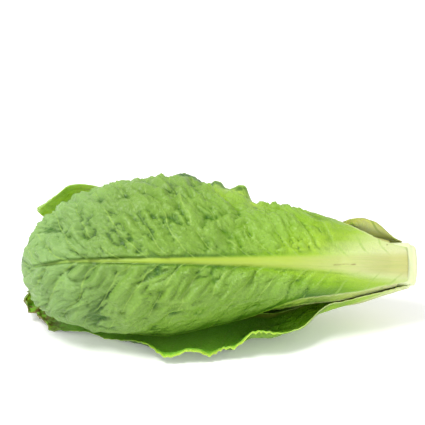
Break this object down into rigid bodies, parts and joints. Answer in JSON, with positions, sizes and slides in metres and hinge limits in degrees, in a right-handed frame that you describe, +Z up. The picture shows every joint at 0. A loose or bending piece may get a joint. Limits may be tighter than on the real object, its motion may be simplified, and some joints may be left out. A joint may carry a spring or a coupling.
{
  "type": "romaine lettuce head",
  "caption": "Whole romaine lettuce head lying on its side: long ribbed leaves wrapped in layers round a short cut stem, blunt at the tips.",
  "frame": {"origin": "bottom centre of the whole head, on the surface it lies on", "axes": "+X along the head towards the cut end of the stem, +Y towards the back of the head, +Z up"},
  "size_m": [0.2636, 0.1174, 0.0978],
  "materials": {
    "outer_leaf": "satin, waxy and slightly translucent leaf",
    "heart_leaf": "satin, crisp and translucent pale leaf",
    "stem": "moist, matt cut stem"
  },
  "bodies": {
    "root": {"stem": "stem", "bottom_leaf": "outer_leaf", "front_leaf": "outer_leaf", "top_leaf": "outer_leaf", "back_leaf": "outer_leaf", "front_under_leaf": "outer_leaf", "back_under_leaf": "outer_leaf", "heart_leaf_01": "heart_leaf", "heart_leaf_02": "heart_leaf", "heart_leaf_03": "heart_leaf", "heart_leaf_04": "heart_leaf", "heart_leaf_05": "heart_leaf", "heart_leaf_06": "heart_leaf", "heart_leaf_07": "heart_leaf", "heart_leaf_08": "heart_leaf", "heart_leaf_09": "heart_leaf", "heart_leaf_10": "heart_leaf", "heart_leaf_11": "heart_leaf", "heart_leaf_12": "heart_leaf", "heart_leaf_13": "heart_leaf", "heart_leaf_14": "heart_leaf", "heart_leaf_15": "heart_leaf", "heart_leaf_16": "heart_leaf", "heart_leaf_17": "heart_leaf", "heart_leaf_18": "heart_leaf"}
  },
  "joints": []
}
